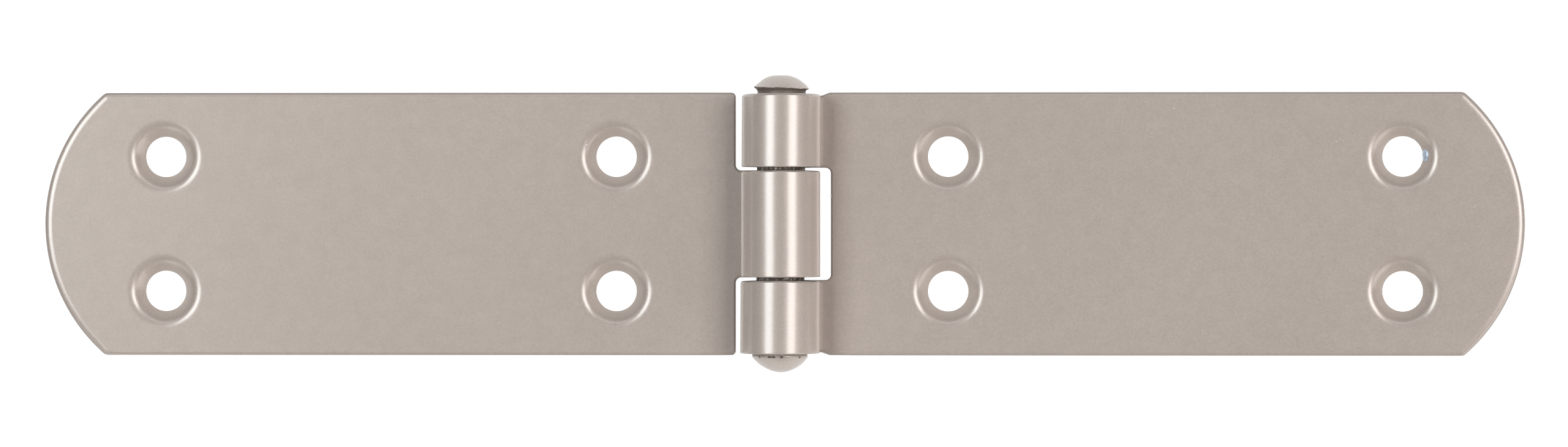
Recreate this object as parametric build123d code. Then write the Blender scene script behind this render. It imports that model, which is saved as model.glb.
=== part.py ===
from build123d import *
from math import acos, degrees, sqrt
import os

# Long strap hinge for a chest or trunk lid: two steel leaves whose inner ends are
# cut into fingers and rolled into three knuckles round one riveted pin.
# It lies open and flat on its back: X along the leaves, Y along the pin, Z up.
# All sizes are in millimetres.

# Leaves
width = 35.0            # across the strap
reach = 98.5            # from the pin to the tip of a leaf
sheet = 2.0             # thickness of the steel
tip_radius = 23.0       # round end of a leaf, seen from the front
side_round = 0.7        # front edges along the straight sides
tip_round = 1.0         # front edge round the tip, drawn in further by the punch
left_cut = 6.1          # from the pin to the cut edge of the left leaf
right_cut = 6.5         # from the pin to the cut edge of the right leaf
cut_break = 0.25        # edges of the cut-outs beside the knuckles
foot_corner = 0.55      # inner corner at the foot of a finger
step_corner = 0.2       # small step where the outer fingers leave the sides

# Knuckles
roll_radius = 5.25      # outside of the roll
bore_radius = roll_radius - sheet
seam = 0.1              # between the end of the roll and the front of its own leaf
centre_end = 7.15       # half length of the middle knuckle, measured in its bore
outer_start = 7.43      # the outer knuckles begin here, measured in their bores
outer_end = 17.3        # and end here
dish = 0.1              # rolling leaves the ends slightly crowned
rim_break = 0.17        # and their outer edges broken

# Screw holes, four in each leaf, countersunk from the front
first_hole = 22.1       # from the pin to the nearer pair
pitch_along = 60.3
pitch_across = 17.9
hole_radius = 2.675
sink_radius = 4.25      # where the cone would meet the front face
sink_break = 0.25       # that rim, broken all round

# Riveted pin, with a ready-made head at one end and a hammered one at the other
pin_radius = 3.2
head_radius = 3.7
crest = 19.7            # from the middle of the hinge to the top of either head
made_seat = 17.5        # underside of the ready-made head
made_rim = 17.85        # its widest circle
neck_end = 17.42        # the shank swells from here into the hammered head
lip_low = 17.8          # the thin lip of the hammered head
lip_high = 18.0
flat_radius = 1.15      # flat that the hammer left on top of it


def strip():
    # Slit strap, rounded at the front edges only, from the pin to past the tip.
    section = Plane.YZ * Pos(0, sheet / 2) * Rectangle(width, sheet)
    section = fillet(section.vertices().group_by(Axis.Z)[-1], side_round)
    return extrude(section, reach + 5)


def tip_form():
    # What the round punch leaves of the strap: a disc at the tip, all of it behind.
    section = Plane.XZ * Pos(tip_radius / 2, sheet / 2) * Rectangle(tip_radius, sheet)
    section = fillet(section.vertices().sort_by_distance((tip_radius, 0, sheet))[0], tip_round)
    disc = Pos(reach - tip_radius, 0, 0) * revolve(section, Axis.Z)
    corner = reach - tip_radius + sqrt(tip_radius**2 - (width / 2) ** 2)
    behind = corner - 2.5
    return disc + Pos(behind / 2, 0, sheet / 2) * Box(behind, width + 2, sheet)


def countersunk_hole():
    # Turned outline of one hole, with its cone and broken rim, used as a cutter.
    cone = sheet - (sink_radius - hole_radius)
    outline = Polyline(
        (0, -1), (hole_radius, -1), (hole_radius, cone), (sink_radius, sheet),
        (sink_radius + 1, sheet), (sink_radius + 1, sheet + 1), (0, sheet + 1), (0, -1),
    )
    section = make_face(Plane.XZ * outline)
    rim = section.vertices().sort_by_distance((sink_radius, 0, sheet))[0]
    return revolve(chamfer(rim, sink_break), Axis.Z)


def finger_profile(cut):
    # Side view of a finger: straight out of the leaf, then round the pin until the
    # end of the sheet comes down on the front of its own leaf.
    rise = degrees(acos((bore_radius - seam) / roll_radius))
    outer = CenterArc((0, roll_radius), roll_radius, rise - 90, 360 - rise)
    inner = CenterArc((0, roll_radius), bore_radius, rise - 90, 360 - rise)
    end = Line(outer @ 0, inner @ 0)
    foot = Polyline(outer @ 1, (cut, 0), (cut, sheet), inner @ 1)
    return make_face(Plane.XZ * (outer + inner + end + foot))


def spool(start, stop):
    # Turned envelope of a knuckle between two stations on the pin. Rolling stretches
    # the outside of the sheet, so each end is dished back and broken at the rim.
    rim = roll_radius - rim_break
    low = start + dish + rim_break
    high = stop - dish - rim_break
    outline = Polyline(
        (0, start), (bore_radius, start), (rim, start + dish), (roll_radius, low), (2 * roll_radius, low),
        (2 * roll_radius, high), (roll_radius, high), (rim, stop - dish), (bore_radius, stop), (0, stop),
        (0, start),
    )
    return Pos(0, 0, roll_radius) * revolve(make_face(outline), Axis.Y)


def knuckle(cut, start, stop):
    body = extrude(finger_profile(cut), stop - start, dir=(0, 1, 0))
    return Pos(0, start, 0) * body & spool(start, stop)


def leaf(cut, fingers):
    # A leaf that reaches towards +X, with its fingers given as stretches of the pin.
    back = dish + rim_break
    plan = Pos(cut + reach / 2, 0) * Rectangle(reach, width)
    for start, stop in fingers:
        foot = Rectangle(cut + 1, stop - start - 2 * back, align=(Align.MIN, Align.CENTER))
        plan += Pos(0, (start + stop) / 2) * foot
    for spot in plan.vertices():
        depth = width / 2 - abs(spot.Y)
        if abs(spot.X - cut) < 0.01 and (depth > 1 or len(fingers) > 1):
            near = plan.vertices().sort_by_distance(spot)[0]
            plan = fillet(near, foot_corner if depth > 1 else step_corner)
    plate = extrude(plan, sheet) & strip() & tip_form()
    rims = plate.edges().filter_by(
        lambda e: abs((e @ 0.5).X - cut) < foot_corner
        and (e @ 0.5).Z > sheet - 0.01
        and abs((e @ 0).Y - (e @ 1).Y) > 0.01
    )
    plate = chamfer(rims, cut_break)
    hole = countersunk_hole()
    for spot in GridLocations(pitch_along, pitch_across, 2, 2):
        plate -= Pos(first_hole + pitch_along / 2, 0, 0) * spot * hole
    for start, stop in fingers:
        plate += knuckle(cut, start, stop)
    return plate


def rivet():
    # The pin and both heads, turned in one outline round the pin axis.
    seat = Polyline((pin_radius, -made_seat), (head_radius - 0.1, -made_seat), (head_radius, -made_rim))
    dome = TangentArc((0, -crest), (head_radius, -made_rim), tangent=(1, 0))
    core = Polyline((0, -crest), (0, crest), (flat_radius, crest))
    flank = TangentArc((flat_radius, crest), (head_radius, lip_high), tangent=(1, -0.2))
    lip = Line((head_radius, lip_high), (head_radius, lip_low))
    shank = Polyline((head_radius, lip_low), (pin_radius, neck_end), (pin_radius, -made_seat))
    section = make_face(seat + dome + core + flank + lip + shank)
    return Pos(0, 0, roll_radius) * revolve(section, Axis.Y)


middle = [(-centre_end, centre_end)]
outers = [(-outer_end, -outer_start), (outer_start, outer_end)]

nodes = {
    "left_leaf": Rot(0, 0, 180) * leaf(left_cut, middle),
    "right_leaf": leaf(right_cut, outers),
    "hinge_pin": rivet(),
}

os.makedirs("parts", exist_ok=True)
for name, shape in nodes.items():
    export_step(shape, f"parts/{name}.step")
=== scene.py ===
from math import acos, atan2, cos, degrees, exp, hypot, pi, radians, sin, sqrt, tan

import bmesh
import bpy
from mathutils import Matrix, Vector


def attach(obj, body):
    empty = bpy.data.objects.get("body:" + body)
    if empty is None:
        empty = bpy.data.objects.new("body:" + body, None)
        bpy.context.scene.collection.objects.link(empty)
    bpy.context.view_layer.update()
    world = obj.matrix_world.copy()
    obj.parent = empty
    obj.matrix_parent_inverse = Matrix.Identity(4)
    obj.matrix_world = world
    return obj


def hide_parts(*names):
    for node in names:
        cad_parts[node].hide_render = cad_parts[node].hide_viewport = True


# Trunk lid strap hinge: two leaves of painted strap with rolled knuckles on one riveted pin.
# Lengths are in millimetres and are brought to metres where a mesh is made.
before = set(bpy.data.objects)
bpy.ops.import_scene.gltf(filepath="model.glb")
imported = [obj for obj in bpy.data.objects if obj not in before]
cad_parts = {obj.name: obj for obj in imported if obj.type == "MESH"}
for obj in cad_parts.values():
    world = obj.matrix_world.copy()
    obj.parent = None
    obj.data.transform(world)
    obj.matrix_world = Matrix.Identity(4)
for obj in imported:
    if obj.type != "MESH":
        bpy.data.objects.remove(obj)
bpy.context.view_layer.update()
mm = 0.001


# Leaves. Each is one piece of 2 mm steel strap with a punched round tip, four countersunk holes and
# fingers that are rolled round the pin. It is punched flat first, so this is the outline of the flat
# blank, with every edge rounded as the punch and the powder coat leave it.
width = 35.0
reach = 98.5
sheet = 2.0
tip_radius = 23.0
left_cut = 6.1
right_cut = 6.5
centre_end = 7.15
outer_start = 7.43
outer_end = 17.3
roll_radius = 5.25
bore_radius = roll_radius - sheet
seam = 0.1
foot_round = 0.7        # inner corner where a finger leaves the leaf
corner_round = 0.6      # outer corner beside a finger
finger_round = 0.5      # corners at the end of a finger
tip_corner = 1.0        # corner between a straight side and the round tip
tip_chords = 72
side_run = 1.4          # between points along the straight sides
corner_step = radians(9)
hair = 0.01             # a difference that is too small to count
roll_middle = roll_radius - sheet / 2
rolled_turn = 2 * pi - acos((bore_radius - seam) / roll_radius)
finger_length = rolled_turn * roll_middle
finger_steps = 84
finger_run = finger_length / finger_steps

# Shallow nick where an outer finger leaves the side of its leaf: a slope down to its lowest point, then
# a slow rise to the full width of the finger.
nick_back = 0.15        # the slope starts this far before the cut edge
nick_foot = 5.3         # lowest point, from the pin
nick_depth = 0.2
nick_start_round = 0.45
nick_foot_round = 0.35

# How far each edge is drawn in, how far it drops, how round its back is, and how far its wall leans in.
tip_edge = (1.0, 0.52, 0.22, 0.0)
side_edge = (0.85, 0.42, 0.22, 0.0)
low_side_edge = (0.4, 0.26, 0.22, 0.0)  # the sides nearer to the ready-made head
cut_edge = (0.4, 0.34, 0.2, 0.14)
rolled_edge = (0.12, 0.12, 0.34, 0.0)
crisp_edge = (0.12, 0.12, 0.14, 0.0)    # the ends of the knuckles that face the ready-made head
finger_blend = 0.1      # share of the cut edge that a finger has at the pin line
corner_blend_start = 0.3
corner_blend = 2.5      # length of the blend from the cut edge to a side
tip_blend = 4.0         # and from a side to the tip


def softened(corners, closed, run):
    """Corner points (x, y, radius) as a smooth line, with an arc at each corner.

    The stretches between are divided every run mm, or every run(x0, x1) mm between two ends.
    """
    arcs = []
    count = len(corners)
    for i, (x, y, radius) in enumerate(corners):
        ends = not closed and i in (0, count - 1)
        if ends or radius == 0:
            arcs.append([(x, y)])
            continue
        ax, ay = corners[i - 1][0] - x, corners[i - 1][1] - y
        bx, by = corners[(i + 1) % count][0] - x, corners[(i + 1) % count][1] - y
        turn = acos(max(-1.0, min(1.0, (ax * bx + ay * by) / (hypot(ax, ay) * hypot(bx, by)))))
        side = 1 if ax * by - ay * bx < 0 else -1
        back = radius / tan(turn / 2)
        start = atan2(ay, ax)
        sx, sy = x + back * cos(start), y + back * sin(start)
        # the centre lies square to the first run, on the side that the line turns to
        cx, cy = sx + side * radius * sin(start), sy - side * radius * cos(start)
        sweep = pi - turn
        steps = max(3, round(sweep / corner_step))
        first = atan2(sy - cy, sx - cx)
        angles = [first + side * sweep * k / steps for k in range(steps + 1)]
        arcs.append([(cx + radius * cos(angle), cy + radius * sin(angle)) for angle in angles])
    line = []
    for i, arc in enumerate(arcs):
        line += arc
        if closed or i < count - 1:
            (x0, y0), (x1, y1) = arc[-1], arcs[(i + 1) % count][0]
            length = hypot(x1 - x0, y1 - y0)
            pieces = max(1, round(length / (run(x0, x1) if callable(run) else run)))
            line += [(x0 + (x1 - x0) * k / pieces, y0 + (y1 - y0) * k / pieces) for k in range(1, pieces)]
    return line


def blank_corners(cut, fingers):
    """Corners of a flat leaf, anticlockwise from the near end of its lower side."""
    middle = reach - tip_radius
    side = width / 2
    opening = atan2(side, sqrt(tip_radius**2 - side**2))
    nicked = len(fingers) > 1
    near, near_round = (cut - nick_back, nick_start_round) if nicked else (cut, corner_round)
    corners = [(near, -side, near_round)]
    for k in range(tip_chords + 1):
        angle = -opening + 2 * opening * k / tip_chords
        radius = tip_corner if k in (0, tip_chords) else 0
        corners.append((middle + tip_radius * cos(angle), tip_radius * sin(angle), radius))
    corners.append((near, side, near_round))
    end = -finger_length
    for start, stop in sorted(fingers, reverse=True):
        if stop == outer_end:
            corners.append((nick_foot, stop - nick_depth, nick_foot_round))
        else:
            corners.append((cut, stop, foot_round))
        corners += [(0, stop, 0), (end, stop, finger_round), (end, start, finger_round), (0, start, 0)]
        if start == -outer_end:
            corners.append((nick_foot, start + nick_depth, nick_foot_round))
        else:
            corners.append((cut, start, foot_round))
    return corners


def eased(share):
    """A share between 0 and 1, with a soft start and end."""
    share = max(0.0, min(1.0, share))
    return share * share * (3 - 2 * share)


def edge_at(x, cut, crisp):
    """How an edge is rounded at a distance x from the pin."""
    tip_start = reach - tip_radius + sqrt(tip_radius**2 - width**2 / 4)
    side = low_side_edge if crisp else side_edge
    if x < cut:
        a, b, share = crisp_edge if crisp else rolled_edge, cut_edge, x / cut + finger_blend
    elif x > tip_start - tip_blend / 2:
        a, b, share = side, tip_edge, (x - tip_start + tip_blend / 2) / tip_blend
    else:
        a, b, share = cut_edge, side, (x - cut - corner_blend_start) / corner_blend
    return [p + (q - p) * eased(share) for p, q in zip(a, b)]


# Countersunk screw holes. A die presses them into the strap from the front, so the rim of each cone is
# soft; the powder coat lies over it all. One wall is turned and then set four times into each leaf.
first_hole = 22.1       # from the pin to the nearer pair
pitch_along = 60.3
pitch_across = 17.9
hole_radius = 2.675
sink_radius = 4.17
sink_round = 1.8        # soft rim of the countersink
hole_round = 0.16
hole_back_round = 0.12
front_margin = 1.0      # ring of the front face that belongs to the wall
back_margin = 0.3       # and of the back face
wall_run = 0.5
hole_turns = 128
rim_wear = 0.04
full_bend = radians(7)  # from one ring to the next, where paint wears off in full


def turned(name, profile, turns, wear):
    """A mesh turned about Z from profile points (radius, height), with paint worn off where it bends."""
    bm = bmesh.new()
    edge = bm.verts.layers.float.new("edge")
    rings = []
    for i, (radius, height) in enumerate(profile):
        if radius == 0:
            rings.append([bm.verts.new((0, 0, height * mm))] * turns)
            continue
        ring = []
        for k in range(turns):
            angle = 2 * pi * k / turns
            ring.append(bm.verts.new((radius * mm * cos(angle), radius * mm * sin(angle), height * mm)))
        if 0 < i < len(profile) - 1:
            (ra, ha), (rb, hb) = profile[i - 1], profile[i + 1]
            before, after = atan2(height - ha, radius - ra), atan2(hb - height, rb - radius)
            bend = abs((after - before + pi) % (2 * pi) - pi)
            for vert in ring:
                vert[edge] = wear * min(1.0, bend / full_bend)
        rings.append(ring)
    for lower, upper in zip(rings, rings[1:]):
        for k in range(turns):
            quad = []
            for vert in (lower[k - 1], lower[k], upper[k], upper[k - 1]):
                if vert not in quad:
                    quad.append(vert)
            if len(quad) > 2:
                bm.faces.new(quad)
    mesh = bpy.data.meshes.new(name)
    bm.to_mesh(mesh)
    bm.free()
    return bpy.data.objects.new(name, mesh)


cone_foot = sheet - (sink_radius - hole_radius)
hole_line = softened(
    [
        (sink_radius + front_margin, sheet, 0), (sink_radius, sheet, sink_round),
        (hole_radius, cone_foot, hole_round), (hole_radius, 0, hole_back_round),
        (hole_radius + back_margin, 0, 0),
    ],
    False, wall_run,
)
front_circle = hole_line[0][0]
back_circle = hole_line[-1][0]
hole_wall = turned("hole_wall", hole_line, hole_turns, rim_wear)


# Punched blanks. The press cuts the outline and sinks the holes while the strap is flat. The mesh is a
# rounded rim, whose front and back are filled up to the circles that the hole walls end in.
guard = 0.08            # flat margin beside each rounding, which keeps the flat faces flat in the light
front_steps = 7
back_steps = 5
dish = 0.05             # the roll draws the outside of a finger's ends back by this much
dish_run = 2.0          # growing over this much of its length
flank_draw = 0.09       # and its flanks by this much more
edge_fade = 3.0         # how fast the dark edge tint fades away from an edge
lean_shade_spread = 13.0        # and how much more slowly for each millimetre that the edge leans, which widens the dark tint on the cut edges into painted shade


def rim_profile(draw, drop, back, lean):
    """The rounded rim from front to back: inset, height and how dark the edge tint is, from thinner paint
    and, where the edge leans, painted shade.
    """
    fade = edge_fade - lean_shade_spread * lean
    profile = [(draw + guard, sheet, 0.0)]
    for k in range(front_steps + 1):
        t = pi / 2 * k / front_steps
        profile.append((draw * (1 - sin(t)), sheet - drop * (1 - cos(t)), (k / front_steps) ** fade))
    for k in range(back_steps + 1):
        t = pi / 2 * k / back_steps
        profile.append((back * (1 - cos(t)), back * (1 - sin(t)), 1 - k / back_steps))
    profile.append((back + guard, 0.0, 0.0))
    return profile


def fill_side(bm, line, loop, fingers, front):
    """Fills the front or the back of a blank: strips across the fingers, the rest round four circles."""
    boundary = []
    on_finger = set()
    for start, stop in fingers:
        found = [i for i, (x, y) in enumerate(line) if x < hair and start - hair < y < stop + hair]
        i, j = found[0], found[-1]
        boundary.append(bm.edges.get((loop[i], loop[j])) or bm.edges.new((loop[i], loop[j])))
        while j - i > 1:
            on_finger.update((i, j - 1))
            corners = [loop[i], loop[i + 1], loop[j - 1], loop[j]]
            if j - i == 2:
                corners = [loop[i], loop[i + 1], loop[j]]
            bm.faces.new(corners if not front else corners[::-1])
            i, j = i + 1, j - 1
        on_finger.update(range(i, j))
    outside = [i for i in range(len(line)) if i not in on_finger]
    boundary += [bm.edges.get((loop[i], loop[(i + 1) % len(line)])) for i in outside]
    radius = (front_circle if front else back_circle) * mm
    height = (sheet if front else 0.0) * mm
    for x in (first_hole, first_hole + pitch_along):
        for y in (-pitch_across / 2, pitch_across / 2):
            ring = []
            for k in range(hole_turns):
                angle = 2 * pi * k / hole_turns
                place = (x * mm + radius * cos(angle), y * mm + radius * sin(angle), height)
                ring.append(bm.verts.new(place))
            boundary += [bm.edges.new((ring[k - 1], ring[k])) for k in range(hole_turns)]
    bmesh.ops.triangle_fill(bm, use_beauty=True, edges=boundary, normal=(0, 0, 1 if front else -1))


def leaf_blank(name, cut, fingers, crisp_side):
    """The punched blank, flat, with open circles where the countersunk holes go."""
    def run(x0, x1):
        return finger_run if min(x0, x1) < -hair else side_run

    line = softened(blank_corners(cut, fingers), True, run)
    bm = bmesh.new()
    edge = bm.verts.layers.float.new("edge")
    rows = []
    for i, (x, y) in enumerate(line):
        (px, py), (nx, ny) = line[i - 1], line[(i + 1) % len(line)]
        a, b = hypot(x - px, y - py), hypot(nx - x, ny - y)
        tx, ty = (x - px) / a + (nx - x) / b, (y - py) / a + (ny - y) / b
        size = hypot(tx, ty)
        mitre = 2 / size
        inx, iny = -ty / size * mitre, tx / size * mitre
        draw, drop, back, lean = edge_at(x, cut, iny * crisp_side > 0)
        drawn = dish * min(1.0, max(0.0, -x / dish_run))
        flank = flank_draw * sin(max(0.0, -x) / roll_middle) ** 2
        column = []
        # the dark edge tint: thinner paint on every rounded edge, and painted shade on the cut edges beside
        # the knuckles
        for inset, z, edge_tint in rim_profile(draw, drop, back, lean):
            inset += (drawn + lean) * (1 - z / sheet) + flank
            vert = bm.verts.new(((x + inx * inset) * mm, (y + iny * inset) * mm, z * mm))
            vert[edge] = edge_tint
            column.append(vert)
        rows.append(column)
    for a, b in zip(rows, rows[1:] + rows[:1]):
        for k in range(len(a) - 1):
            bm.faces.new((a[k], a[k + 1], b[k + 1], b[k]))
    fill_side(bm, line, [column[0] for column in rows], fingers, True)
    fill_side(bm, line, [column[-1] for column in rows], fingers, False)
    mesh = bpy.data.meshes.new(name)
    bm.to_mesh(mesh)
    bm.free()
    return bpy.data.objects.new(name, mesh)


# Rolled knuckles. The fingers are bent round a mandrel of the pin's size until their ends come down on
# the front of the leaf. A node tree sets the hole walls in and bends the flat blank in the same way.
weld = 0.003            # points of a blank and a hole wall that are this near become one


def figures(tree):
    """A function that adds a math node to a tree and gives its result."""
    def figure(operation, a, b=None):
        node = tree.nodes.new("ShaderNodeMath")
        node.operation = operation
        for socket, value in zip(node.inputs, (a, b)):
            if isinstance(value, (int, float)):
                socket.default_value = value
            elif value is not None:
                tree.links.new(value, socket)
        return node.outputs[0]

    return figure


def roll_tree():
    """Sets the countersunk holes into a flat blank and rolls its fingers round the pin."""
    tree = bpy.data.node_groups.new("roll_leaf", "GeometryNodeTree")
    sockets = {}
    new = tree.interface.new_socket
    new("Blank", in_out="INPUT", socket_type="NodeSocketGeometry")
    for key, label, kind in (
        ("hole", "Hole Wall", "Object"), ("paint", "Paint", "Material"), ("first", "First Hole", "Float"),
        ("along", "Pitch Along", "Float"), ("across", "Pitch Across", "Float"),
        ("roll", "Roll Radius", "Float"), ("sheet", "Sheet", "Float"),
    ):
        sockets[key] = new(label, in_out="INPUT", socket_type="NodeSocket" + kind).identifier
    new("Leaf", in_out="OUTPUT", socket_type="NodeSocketGeometry")
    nodes, links = tree.nodes, tree.links
    figure = figures(tree)
    given = nodes.new("NodeGroupInput")
    result = nodes.new("NodeGroupOutput")

    pattern = nodes.new("GeometryNodeMeshGrid")
    pattern.inputs["Vertices X"].default_value = 2
    pattern.inputs["Vertices Y"].default_value = 2
    links.new(given.outputs["Pitch Along"], pattern.inputs["Size X"])
    links.new(given.outputs["Pitch Across"], pattern.inputs["Size Y"])
    place = nodes.new("ShaderNodeCombineXYZ")
    half_pitch = figure("MULTIPLY", given.outputs["Pitch Along"], 0.5)
    links.new(figure("ADD", given.outputs["First Hole"], half_pitch), place.inputs["X"])
    shifted = nodes.new("GeometryNodeSetPosition")
    links.new(pattern.outputs["Mesh"], shifted.inputs["Geometry"])
    links.new(place.outputs[0], shifted.inputs["Offset"])
    wall = nodes.new("GeometryNodeObjectInfo")
    links.new(given.outputs["Hole Wall"], wall.inputs["Object"])
    placed = nodes.new("GeometryNodeInstanceOnPoints")
    links.new(shifted.outputs[0], placed.inputs["Points"])
    links.new(wall.outputs["Geometry"], placed.inputs["Instance"])
    walls = nodes.new("GeometryNodeRealizeInstances")
    links.new(placed.outputs[0], walls.inputs[0])
    joined = nodes.new("GeometryNodeJoinGeometry")
    links.new(walls.outputs[0], joined.inputs[0])
    links.new(given.outputs["Blank"], joined.inputs[0])
    merged = nodes.new("GeometryNodeMergeByDistance")
    merged.inputs["Distance"].default_value = weld * mm
    links.new(joined.outputs[0], merged.inputs["Geometry"])

    # Past the pin line the sheet follows a circle: its length becomes an angle, and its depth a radius.
    where = nodes.new("GeometryNodeInputPosition")
    split = nodes.new("ShaderNodeSeparateXYZ")
    links.new(where.outputs[0], split.inputs[0])
    half_sheet = figure("MULTIPLY", given.outputs["Sheet"], 0.5)
    middle = figure("SUBTRACT", given.outputs["Roll Radius"], half_sheet)
    angle = figure("DIVIDE", figure("MULTIPLY", split.outputs["X"], -1.0), middle)
    radius = figure("SUBTRACT", given.outputs["Roll Radius"], split.outputs["Z"])
    rolled = nodes.new("ShaderNodeCombineXYZ")
    forward = figure("MULTIPLY", radius, figure("SINE", angle))
    links.new(figure("MULTIPLY", forward, -1.0), rolled.inputs["X"])
    links.new(split.outputs["Y"], rolled.inputs["Y"])
    below = figure("MULTIPLY", radius, figure("COSINE", angle))
    links.new(figure("SUBTRACT", given.outputs["Roll Radius"], below), rolled.inputs["Z"])
    bent = nodes.new("GeometryNodeSetPosition")
    links.new(merged.outputs[0], bent.inputs["Geometry"])
    links.new(figure("LESS_THAN", split.outputs["X"], 0.0), bent.inputs["Selection"])
    links.new(rolled.outputs[0], bent.inputs["Position"])
    smooth = nodes.new("GeometryNodeSetShadeSmooth")
    links.new(bent.outputs[0], smooth.inputs["Geometry"])
    real = nodes.new("GeometryNodeRealizeInstances")
    links.new(smooth.outputs[0], real.inputs[0])
    paint = nodes.new("GeometryNodeSetMaterial")
    links.new(real.outputs[0], paint.inputs["Geometry"])
    links.new(given.outputs["Paint"], paint.inputs["Material"])
    links.new(paint.outputs[0], result.inputs["Leaf"])
    return tree, sockets


roll_leaf, roll_sockets = roll_tree()


def plain_mesh(obj, half_turn=False):
    """What the modifiers on obj make, as a plain closed mesh with its faces pointing outwards."""
    scene = bpy.context.scene
    scene.collection.objects.link(obj)
    bpy.context.view_layer.update()
    mesh = bpy.data.meshes.new_from_object(obj.evaluated_get(bpy.context.evaluated_depsgraph_get()))
    obj.modifiers.clear()
    bm = bmesh.new()
    bm.from_mesh(mesh)
    bmesh.ops.recalc_face_normals(bm, faces=bm.faces)
    if half_turn:
        for vert in bm.verts:
            vert.co.x, vert.co.y = -vert.co.x, -vert.co.y
    bm.to_mesh(mesh)
    bm.free()
    mesh.name = obj.name
    obj.data = mesh
    return obj


# Powder coat. Metallic powder is sprayed on and baked, which leaves flakes, a little orange peel and a
# clear skin. It runs thinner on sharp edges, where the attribute "edge" is high; on the cut edges beside
# the knuckles the same dark tint is painted shade.
flake_depth = 0.42      # how much the flakes change the colour
tone_depth = 0.1        # and how much the orange peel and the uneven film do
rough_depth = 0.12      # how much the flakes change the roughness
flake_height = 0.05     # beside the orange peel, whose height is 1 before Peel scales it
relief = 0.012          # a height of 1 in millimetres
edge_darkening = 0.8     # share of the dark edge colour on the sharpest edge: thinner paint, and painted shade on the cut edges
worn_coat = 0.15        # share of the clear skin that is left there


def powder_coat():
    """Shader group: a metallic powder coat, as colour, roughness and height over the surface."""
    tree = bpy.data.node_groups.new("powder_coat", "ShaderNodeTree")
    new = tree.interface.new_socket
    new("Position", in_out="INPUT", socket_type="NodeSocketVector")
    for label in ("Edge", "Flake", "Peel", "Roughness"):
        new(label, in_out="INPUT", socket_type="NodeSocketFloat")
    for label in ("Paint", "Thin Paint"):
        new(label, in_out="INPUT", socket_type="NodeSocketColor")
    new("Color", in_out="OUTPUT", socket_type="NodeSocketColor")
    new("Roughness", in_out="OUTPUT", socket_type="NodeSocketFloat")
    new("Height", in_out="OUTPUT", socket_type="NodeSocketFloat")
    nodes, links = tree.nodes, tree.links
    figure = figures(tree)
    given, result = nodes.new("NodeGroupInput"), nodes.new("NodeGroupOutput")

    def noise(scale, detail):
        node = nodes.new("ShaderNodeTexNoise")
        node.inputs["Scale"].default_value = scale
        node.inputs["Detail"].default_value = detail
        links.new(given.outputs["Position"], node.inputs["Vector"])
        return node.outputs["Fac"]

    def about(middle, pattern, amount):
        """A value that swings about its middle as the pattern does about a half."""
        return figure("ADD", figure("MULTIPLY", figure("SUBTRACT", pattern, 0.5), amount), middle)

    clouds = noise(28, 3)            # uneven film, centimetres wide
    mottle = noise(420, 2)           # orange peel, about two millimetres from crest to crest
    flakes = noise(3800, 1)          # metallic flakes
    shade = about(1.0, flakes, figure("MULTIPLY", given.outputs["Flake"], flake_depth))
    shade = figure("MULTIPLY", shade, about(1.0, mottle, tone_depth))
    shade = figure("MULTIPLY", shade, about(1.0, clouds, tone_depth))
    tint = nodes.new("ShaderNodeMix")
    tint.data_type = "RGBA"
    links.new(figure("MULTIPLY", given.outputs["Edge"], edge_darkening), tint.inputs["Factor"])
    links.new(given.outputs["Paint"], tint.inputs["A"])
    links.new(given.outputs["Thin Paint"], tint.inputs["B"])
    toned = nodes.new("ShaderNodeVectorMath")
    toned.operation = "SCALE"
    links.new(tint.outputs["Result"], toned.inputs[0])
    links.new(shade, toned.inputs["Scale"])
    links.new(toned.outputs[0], result.inputs["Color"])
    links.new(about(given.outputs["Roughness"], flakes, rough_depth), result.inputs["Roughness"])
    peel = figure("MULTIPLY", mottle, given.outputs["Peel"])
    links.new(figure("ADD", peel, figure("MULTIPLY", flakes, flake_height)), result.inputs["Height"])
    return tree


coat = powder_coat()


def painted(name, paint, thin_and_shade, flake, peel, roughness, coat_weight=1.0):
    """A painted metal material: its colour and relief come from the powder coat group."""
    material = bpy.data.materials.new(name)
    material.use_nodes = True
    nodes, links = material.node_tree.nodes, material.node_tree.links
    shader = nodes["Principled BSDF"]
    shader.inputs["Metallic"].default_value = 0.15
    shader.inputs["IOR"].default_value = 1.5
    shader.inputs["Coat Roughness"].default_value = 0.22
    shader.inputs["Coat IOR"].default_value = 1.62
    group = nodes.new("ShaderNodeGroup")
    group.node_tree = coat
    group.inputs["Paint"].default_value = (*paint, 1)
    group.inputs["Thin Paint"].default_value = (*thin_and_shade, 1)
    group.inputs["Flake"].default_value = flake
    group.inputs["Peel"].default_value = peel
    group.inputs["Roughness"].default_value = roughness
    place = nodes.new("ShaderNodeTexCoord")
    links.new(place.outputs["Object"], group.inputs["Position"])
    edge = nodes.new("ShaderNodeAttribute")
    edge.attribute_name = "edge"
    links.new(edge.outputs["Fac"], group.inputs["Edge"])
    thinned = nodes.new("ShaderNodeMapRange")
    thinned.inputs["To Min"].default_value = coat_weight
    thinned.inputs["To Max"].default_value = worn_coat * coat_weight
    links.new(edge.outputs["Fac"], thinned.inputs["Value"])
    links.new(thinned.outputs["Result"], shader.inputs["Coat Weight"])
    bump = nodes.new("ShaderNodeBump")
    bump.inputs["Strength"].default_value = 1.0
    bump.inputs["Distance"].default_value = relief * mm
    links.new(group.outputs["Height"], bump.inputs["Height"])
    links.new(group.outputs["Color"], shader.inputs["Base Color"])
    links.new(group.outputs["Roughness"], shader.inputs["Roughness"])
    links.new(bump.outputs["Normal"], shader.inputs["Normal"])
    links.new(bump.outputs["Normal"], shader.inputs["Coat Normal"])
    return material


# Finished leaves. Both have the same powder, but the right one came out with less orange peel. The outer
# fingers lean with the pin that they hold, by pin_lean to either side over its length.
leaf_beige = (0.53, 0.45, 0.398)
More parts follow.
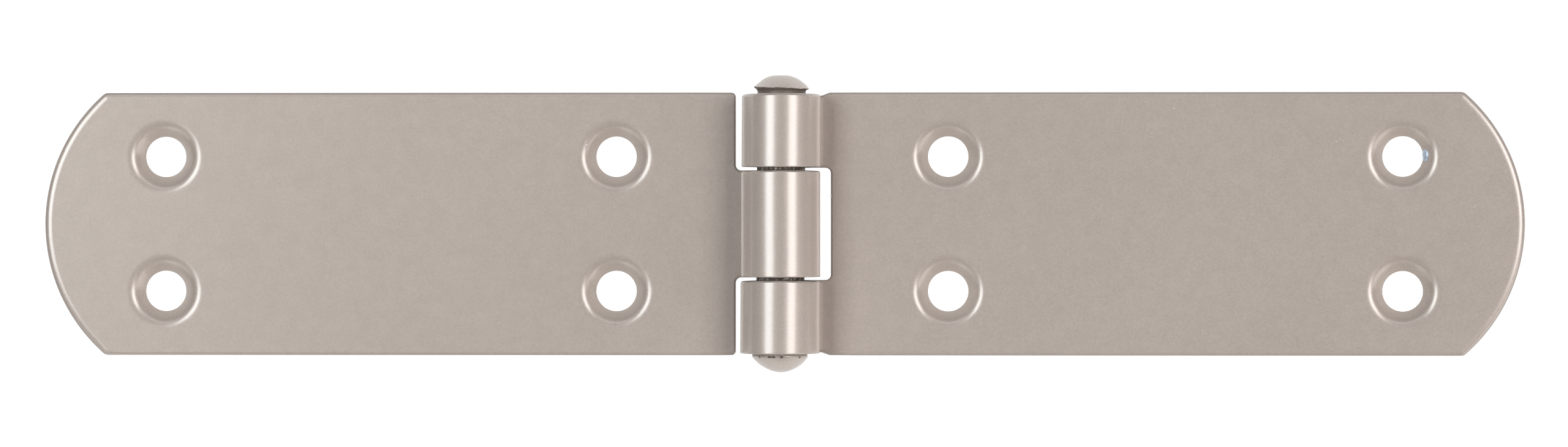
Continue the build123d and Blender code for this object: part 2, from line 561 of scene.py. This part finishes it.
# dark edge colour: thinner paint on the edges, and painted shade on the cut edges beside the knuckles
thin_and_shade_beige = (0.16, 0.125, 0.1)
pin_lean = 0.13
lean_start = 6.4        # the right leaf is straight from here on
lean_run = 2.4          # and leans in full this much nearer to the pin
left_paint = painted("left_leaf_paint", leaf_beige, thin_and_shade_beige, 0.5, 1.0, 0.36)
right_paint = painted("right_leaf_paint", leaf_beige, thin_and_shade_beige, 0.5, 0.4, 0.36)


def leaf(name, cut, fingers, half_turn, paint):
    """A finished leaf. The left one is made like the right one and then turned half round."""
    blank = leaf_blank(name, cut, fingers, -1 if half_turn else 1)
    modifier = blank.modifiers.new("roll", "NODES")
    modifier.node_group = roll_leaf
    for key, value in (
        ("hole", hole_wall), ("paint", paint), ("first", first_hole * mm), ("along", pitch_along * mm),
        ("across", pitch_across * mm), ("roll", roll_radius * mm), ("sheet", sheet * mm),
    ):
        modifier[roll_sockets[key]] = value
    return plain_mesh(blank, half_turn)


middle_finger = [(-centre_end, centre_end)]
outer_fingers = [(-outer_end, -outer_start), (outer_start, outer_end)]
left_leaf = leaf("left_leaf_painted", left_cut, middle_finger, True, left_paint)
right_leaf = leaf("right_leaf_painted", right_cut, outer_fingers, False, right_paint)
for vert in right_leaf.data.vertices:
    x, y = vert.co.x / mm, vert.co.y / mm
    vert.co.x += pin_lean * y / outer_end * eased((lean_start - x) / lean_run) * mm


def add_bead(mesh, x, y, z, sizes, tilt):
    """Adds a small closed bead to a mesh: its half sizes are given up a slope, across it and off it."""
    bm = bmesh.new()
    bm.from_mesh(mesh)
    edge = bm.verts.layers.float.get("edge") or bm.verts.layers.float.new("edge")
    placed = Matrix.Translation(Vector((x, y, z)) * mm) @ Matrix.Rotation(-radians(tilt), 4, "Y")
    made = bmesh.ops.create_uvsphere(
        bm, u_segments=24, v_segments=12, radius=mm, matrix=placed @ Matrix.Diagonal((*sizes, 1))
    )
    for vert in made["verts"]:
        vert[edge] = 1.0
        for face in vert.link_faces:
            face.smooth = True
    bm.to_mesh(mesh)
    bm.free()


# Dust nibs under the powder, and a burr on the cut edge of the right leaf: x, y, height, half width.
nib_thickness = 0.05
for mesh, x, y, z, size in (
    (left_leaf.data, -26.0, 10.55, 1.92, 0.12), (right_leaf.data, 52.1, 15.3, 1.955, 0.14),
    (right_leaf.data, 73.55, 10.9, 1.955, 0.16), (right_leaf.data, 91.8, 2.25, 1.955, 0.12),
    (right_leaf.data, 97.9, -1.4, 1.82, 0.1), (right_leaf.data, 6.63, 3.72, 1.86, 0.17),
):
    add_bead(mesh, x, y, z, (size, size, nib_thickness), 0)
for piece, body, node in ((left_leaf, "left_side", "left_leaf"), (right_leaf, "right_side", "right_leaf")):
    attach(piece, body)
    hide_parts(node)


# Paint run. A drop of the blue-grey primer ran down into the upper hole near the right tip and set there
# as a bead on the cone, with a glossy skin.
drop_x = first_hole + pitch_along + 3.0
drop_y = pitch_across / 2 + 0.2
drop_z = cone_foot + 0.28
drop_size = (0.56, 0.9, 0.22)
cone_slope = 45
drop_blue = (0.62, 0.68, 0.8)
thin_blue = (0.5, 0.57, 0.7)
drop_mesh = bpy.data.meshes.new("right_leaf_drop")
add_bead(drop_mesh, drop_x, drop_y, drop_z, drop_size, cone_slope)
drop = bpy.data.objects.new("right_leaf_drop", drop_mesh)
drop_paint = painted("drop_paint", drop_blue, thin_blue, 2.5, 1.5, 0.2)
drop_mesh.materials.append(drop_paint)
bpy.context.scene.collection.objects.link(drop)
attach(drop, "right_side")
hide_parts("right_leaf")


# Pin. A steel rivet with a ready-made domed head at its lower end. It was pushed through all three
# knuckles and hammered over at the top, which left a flat, a thin uneven lip and a swollen neck.
pin_radius = 3.2
crest = 19.7
pin_beige = (0.59, 0.51, 0.455)
bare_and_shade_brown = (0.15, 0.112, 0.09)        # uncoated steel in the paint voids; in the knuckle gaps and under the lip this dark brown is painted shade
bare_roughness = 0.5
pin_coat = 0.4
pin_wear = 0.08
pin_turns = 240
head_steps = 4
shank_rings = (17.0, 12.0, 6.0, 0.0, -6.0, -12.0, -17.0)

# Outlines of the heads: distance from the axis, distance from the middle of the hinge.
made_head = [
    (0.65, 19.62), (1.1, 19.5), (1.54, 19.34), (2.05, 19.08), (2.59, 18.74), (3.0, 18.41), (3.34, 18.07),
    (3.49, 17.88), (3.53, 17.84), (3.57, 17.8), (3.66, 17.66), (3.69, 17.5), (3.66, 17.33), (3.55, 17.24),
    (3.3, 17.2),
]
hammered_head = [
    (3.2, 17.3), (3.2, 17.5), (3.27, 17.7), (3.41, 17.85), (3.6, 17.94), (3.67, 17.99), (3.67, 18.04),
    (3.57, 18.15), (3.42, 18.31), (3.07, 18.65), (2.65, 18.98), (2.2, 19.28), (1.76, 19.48), (1.35, 19.61),
    (1.0, 19.68), (0.5, 19.7),
]


def spline(before, a, b, after, t):
    """A smooth value between a and b, with the values before and after them."""
    square = 2 * before - 5 * a + 4 * b - after
    cube = 3 * a - before - 3 * b + after
    return 0.5 * (2 * a + (b - before) * t + square * t * t + cube * t**3)


def drawn_through(points, steps):
    """A smooth line through points, with a number of steps between each two."""
    line = []
    padded = [points[0]] + points + [points[-1]]
    for near in zip(padded, padded[1:], padded[2:], padded[3:]):
        for k in range(steps):
            line.append(tuple(spline(*values, k / steps) for values in zip(*near)))
    return line + [points[-1]]


pin_line = (
    [(0.0, -crest)] + [(r, -h) for r, h in drawn_through(made_head, head_steps)]
    + [(pin_radius, -h) for h in shank_rings]
    + drawn_through(hammered_head, head_steps) + [(0.0, crest)]
)
pin = turned("hinge_pin_painted", pin_line, pin_turns, pin_wear)

# The riveting set both crowns askew and left the lip drooping and wavy.
crown_lean = 0.13           # the tops of the heads sit this far off the middle of their rims
head_start = 17.6           # where that lean begins
rim_droop = 0.06            # the rim of the ready-made head is this much lower on one side
lip_droop = 0.14            # and so is the hammered lip, which is as much higher on the other
lip_start = 17.4
lip_radius = 3.67
lip_height = 18.0
lip_reach_in = 0.8          # how far the waves of the lip reach
lip_reach_up = 0.6
lip_waves = ((0.03, 5, 0.6), (0.025, 11, 2.1), (0.015, 23, 0.0))     # height, number, phase
seat_fade = 0.05


def set_head(x, y, height):
    """A point of the turned pin after riveting: crowns off centre, and a lip that droops and waves."""
    if abs(height) > head_start:
        lean = crown_lean * (abs(height) - head_start) / (crest - head_start)
        x -= lean * (1 if height > 0 else -1)
    if height < -outer_end:
        droop = rim_droop * (0.5 + x / (2 * lip_radius))
        height -= droop * min(1.0, (-outer_end - height) / seat_fade) * min(1.0, crest + height)
    if height > lip_start:
        angle = atan2(y, x)
        inwards = max(0.0, 1 - abs(hypot(x, y) - lip_radius) / lip_reach_in)
        upwards = max(0.0, 1 - abs(height - lip_height) / lip_reach_up)
        wave = sum(size * sin(number * angle + phase) for size, number, phase in lip_waves)
        height += inwards * upwards * (wave - lip_droop * cos(angle))
    return x + pin_lean * height / crest, y, height


# The powder bridged the joint under the ready-made head and left voids there: angle round the pin from
# the front, half width in degrees, depth. Inside the gaps and under the lip the pin is painted dark brown,
# which is painted shade.
paint_voids = (
    (-44.6, 2.2, 0.1), (-20.3, 4.2, 0.22), (-11.5, 3.6, 0.22), (5.4, 3.6, 0.2), (48.0, 2.5, 0.08),
    (130, 4, 0.2), (215, 3, 0.2),
)
void_height = 17.55
void_reach = 0.13
void_dark = 1.6             # a void is bare out to where it is 1 / 1.6 of its depth
seat_radius = 3.6
seat_top = 17.85
# The neck under the hammered lip is painted dark brown from here up: painted shade.
neck_foot = 17.0
neck_shade = 0.88
neck_fade = 0.2
# Lighter specks of paint colour in the dark gaps, which stand in for glints: painted glints.
glint_grain_end = 17.1
glint_grain_share = 0.85


def open_voids(x, y, height):
    """A point of the bridged joint moved into the voids there, and how bare it is."""
    bare_share = 0.0
    for turn, spread, depth in paint_voids:
        offset = (degrees(atan2(x, y)) - turn + 180) % 360 - 180
        dent = exp(-(offset / spread) ** 2) * exp(-((height + void_height) / void_reach) ** 2)
        bare_share = max(bare_share, min(1.0, void_dark * dent))
        x, y = x * (1 - depth * dent / seat_radius), y * (1 - depth * dent / seat_radius)
    return x, y, bare_share


# Dark brown mask: uncoated steel in the paint voids, painted shade in the knuckle gaps and under the lip.
bare = pin.data.attributes.new("bare", "FLOAT", "POINT")
in_gap = pin.data.attributes.new("inside", "FLOAT", "POINT")
for vert in pin.data.vertices:
    x, y, height = vert.co / mm
    from_axis = hypot(x, y)
    inside = under_lip = void = 0.0
    if from_axis < bore_radius:
        inside = min(1.0, max(0.0, (outer_end + seat_fade - abs(height)) / seat_fade))
    if height > neck_foot and from_axis < seat_radius:
        under_lip = neck_shade * min(1.0, max(0.0, (lip_height - height) / neck_fade))
    if -seat_top < height < -outer_end:
        x, y, void = open_voids(x, y, height)
    bare.data[vert.index].value = max(inside, under_lip, void)
    in_gap.data[vert.index].value = glint_grain_share * inside if abs(height) < glint_grain_end else 0.0
    x, y, height = set_head(x, y, height)
    vert.co = (x * mm, height * mm, (roll_radius + y) * mm)


def dark_steel_and_shade(material, coat_weight):
    """Shows dark steel colour where the masks say: uncoated steel in the paint voids, and painted shade in
    the knuckle gaps and under the lip, with a few specks of paint colour there as painted glints.
    """
    nodes, links = material.node_tree.nodes, material.node_tree.links
    figure = figures(material.node_tree)
    shader = nodes["Principled BSDF"]
    place = nodes.new("ShaderNodeTexCoord")
    stretched = nodes.new("ShaderNodeMapping")
    stretched.inputs["Scale"].default_value = (1.0, 0.8, 1.0)
    links.new(place.outputs["Object"], stretched.inputs["Vector"])
    # specks of paint colour in the gaps: painted glints
    glint_grains = nodes.new("ShaderNodeTexNoise")
    glint_grains.inputs["Scale"].default_value = 2200
    glint_grains.inputs["Detail"].default_value = 2
    links.new(stretched.outputs["Vector"], glint_grains.inputs["Vector"])
    glint_grained = nodes.new("ShaderNodeMapRange")
    glint_grained.inputs["From Min"].default_value = 0.5
    glint_grained.inputs["From Max"].default_value = 0.57
    links.new(glint_grains.outputs["Fac"], glint_grained.inputs["Value"])
    masks = {}
    for label in ("bare", "inside"):
        masks[label] = nodes.new("ShaderNodeAttribute")
        masks[label].attribute_name = label
    kept = figure("MULTIPLY", glint_grained.outputs["Result"], masks["inside"].outputs["Fac"])
    shown = figure("SUBTRACT", masks["bare"].outputs["Fac"], kept)
    shown.node.use_clamp = True
    for label, kind, steel in (
        ("Base Color", "Color", (*bare_and_shade_brown, 1)), ("Roughness", "Float", bare_roughness),
    ):
        socket = shader.inputs[label]
        mix = nodes.new("ShaderNodeMix")
        mix.data_type = "RGBA" if kind == "Color" else "FLOAT"
        factor, a, b = [x for x in mix.inputs if x.identifier in ("Factor_Float", "A_" + kind, "B_" + kind)]
        links.new(shown, factor)
        links.new(socket.links[0].from_socket, a)
        b.default_value = steel
        links.new([x for x in mix.outputs if x.identifier == "Result_" + kind][0], socket)
    coat_share = nodes.new("ShaderNodeMapRange")
    coat_share.inputs["To Min"].default_value = coat_weight
    coat_share.inputs["To Max"].default_value = 0.0
    links.new(shown, coat_share.inputs["Value"])
    links.new(coat_share.outputs["Result"], shader.inputs["Coat Weight"])


pin_paint = painted("pin_paint", pin_beige, thin_and_shade_beige, 0.8, 0.6, 0.4, pin_coat)
dark_steel_and_shade(pin_paint, pin_coat)
pin.data.materials.append(pin_paint)
pin.data.shade_smooth()
pin = plain_mesh(pin)
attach(pin, "right_side")
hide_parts("hinge_pin")


# Studio: a white sweep, two soft boxes on either side of a camera that looks almost straight down, and
# dim cards near the table, which light the heads of the pin and the walls of the countersinks.
floor_size = 3000.0
floor_drop = 0.03           # keeps the floor clear of the backs of the leaves
sweep_grey = 0.4
sweep_glow = 0.97           # makes the sweep white to the camera and in reflections


def studio_floor():
    bpy.ops.mesh.primitive_plane_add(size=floor_size * mm, location=(0, 0, -floor_drop * mm))
    floor = bpy.context.object
    floor.name = "studio_floor"
    material = bpy.data.materials.new("white_sweep")
    material.use_nodes = True
    nodes, links = material.node_tree.nodes, material.node_tree.links
    figure = figures(material.node_tree)
    nodes.clear()
    matt = nodes.new("ShaderNodeBsdfDiffuse")
    matt.inputs["Color"].default_value = (sweep_grey, sweep_grey, sweep_grey, 1)
    glow = nodes.new("ShaderNodeEmission")
    glow.inputs["Color"].default_value = (1, 1, 1, 1)
    path = nodes.new("ShaderNodeLightPath")
    seen = figure("MAXIMUM", path.outputs["Is Camera Ray"], path.outputs["Is Glossy Ray"])
    links.new(figure("MULTIPLY", seen, sweep_glow), glow.inputs["Strength"])
    both = nodes.new("ShaderNodeAddShader")
    links.new(matt.outputs[0], both.inputs[0])
    links.new(glow.outputs[0], both.inputs[1])
    output = nodes.new("ShaderNodeOutputMaterial")
    links.new(both.outputs[0], output.inputs["Surface"])
    floor.data.materials.append(material)


studio_floor()


def soft_box(name, place, size, power, colour):
    """A soft box or card that faces the hinge: its size is given across and along the pin."""
    light = bpy.data.lights.new(name, "AREA")
    light.shape = "RECTANGLE"
    light.size, light.size_y = size[0] * mm, size[1] * mm
    light.energy = power
    light.color = colour
    lamp = bpy.data.objects.new(name, light)
    bpy.context.scene.collection.objects.link(lamp)
    lamp.location = [c * mm for c in place]
    back = Vector(place).normalized()
    across = Vector((back.z, 0, -back.x)).normalized()
    lamp.rotation_euler = Matrix((across, back.cross(across), back)).transposed().to_euler()


soft_box("left_soft_box", (-664, 189, 1107), (540, 684), 8.1, (0.93, 0.985, 1.0))
soft_box("right_soft_box", (1157, 290, 1634), (860, 1150), 20.4, (1.0, 0.985, 0.985))
soft_box("top_card", (0, 560, 560), (830, 165), 0.66, (0.92, 0.94, 1.0))
soft_box("bottom_card", (0, -650, 250), (1000, 380), 0.6, (1.0, 0.98, 0.96))
soft_box("low_left_card", (-450, -520, 250), (420, 600), 0.7, (1.0, 0.98, 0.96))
soft_box("low_right_card", (600, -360, 250), (420, 600), 1.3, (1.0, 0.98, 0.96))

world = bpy.data.worlds.new("studio")
bpy.context.scene.world = world
world.use_nodes = True
world.node_tree.nodes["Background"].inputs["Color"].default_value = (0.02, 0.02, 0.02, 1)
world.node_tree.nodes["Background"].inputs["Strength"].default_value = 1.0

camera_distance = 900.0
camera_lean = (0.04, 0.0)        # how far it stands off the vertical, to the right and to the top
aim = (0.3, 0.05, 2.0)
pixels_per_mm = 12.28            # in the photograph, at the leaves
photo_width = 2560
sensor_width = 36
camera_data = bpy.data.cameras.new("camera")
camera = bpy.data.objects.new("camera", camera_data)
bpy.context.scene.collection.objects.link(camera)
camera_data.sensor_width = sensor_width
camera_data.lens = sensor_width * camera_distance * pixels_per_mm / photo_width
camera_data.clip_end = 20
back = Vector((*camera_lean, 1)).normalized()
up = back.cross(Vector((1, 0, 0))).normalized()
camera.location = (Vector(aim) + camera_distance * back) * mm
camera.rotation_euler = Matrix((up.cross(back), up, back)).transposed().to_euler()
bpy.context.scene.camera = camera
bpy.context.scene.view_settings.view_transform = "Standard"
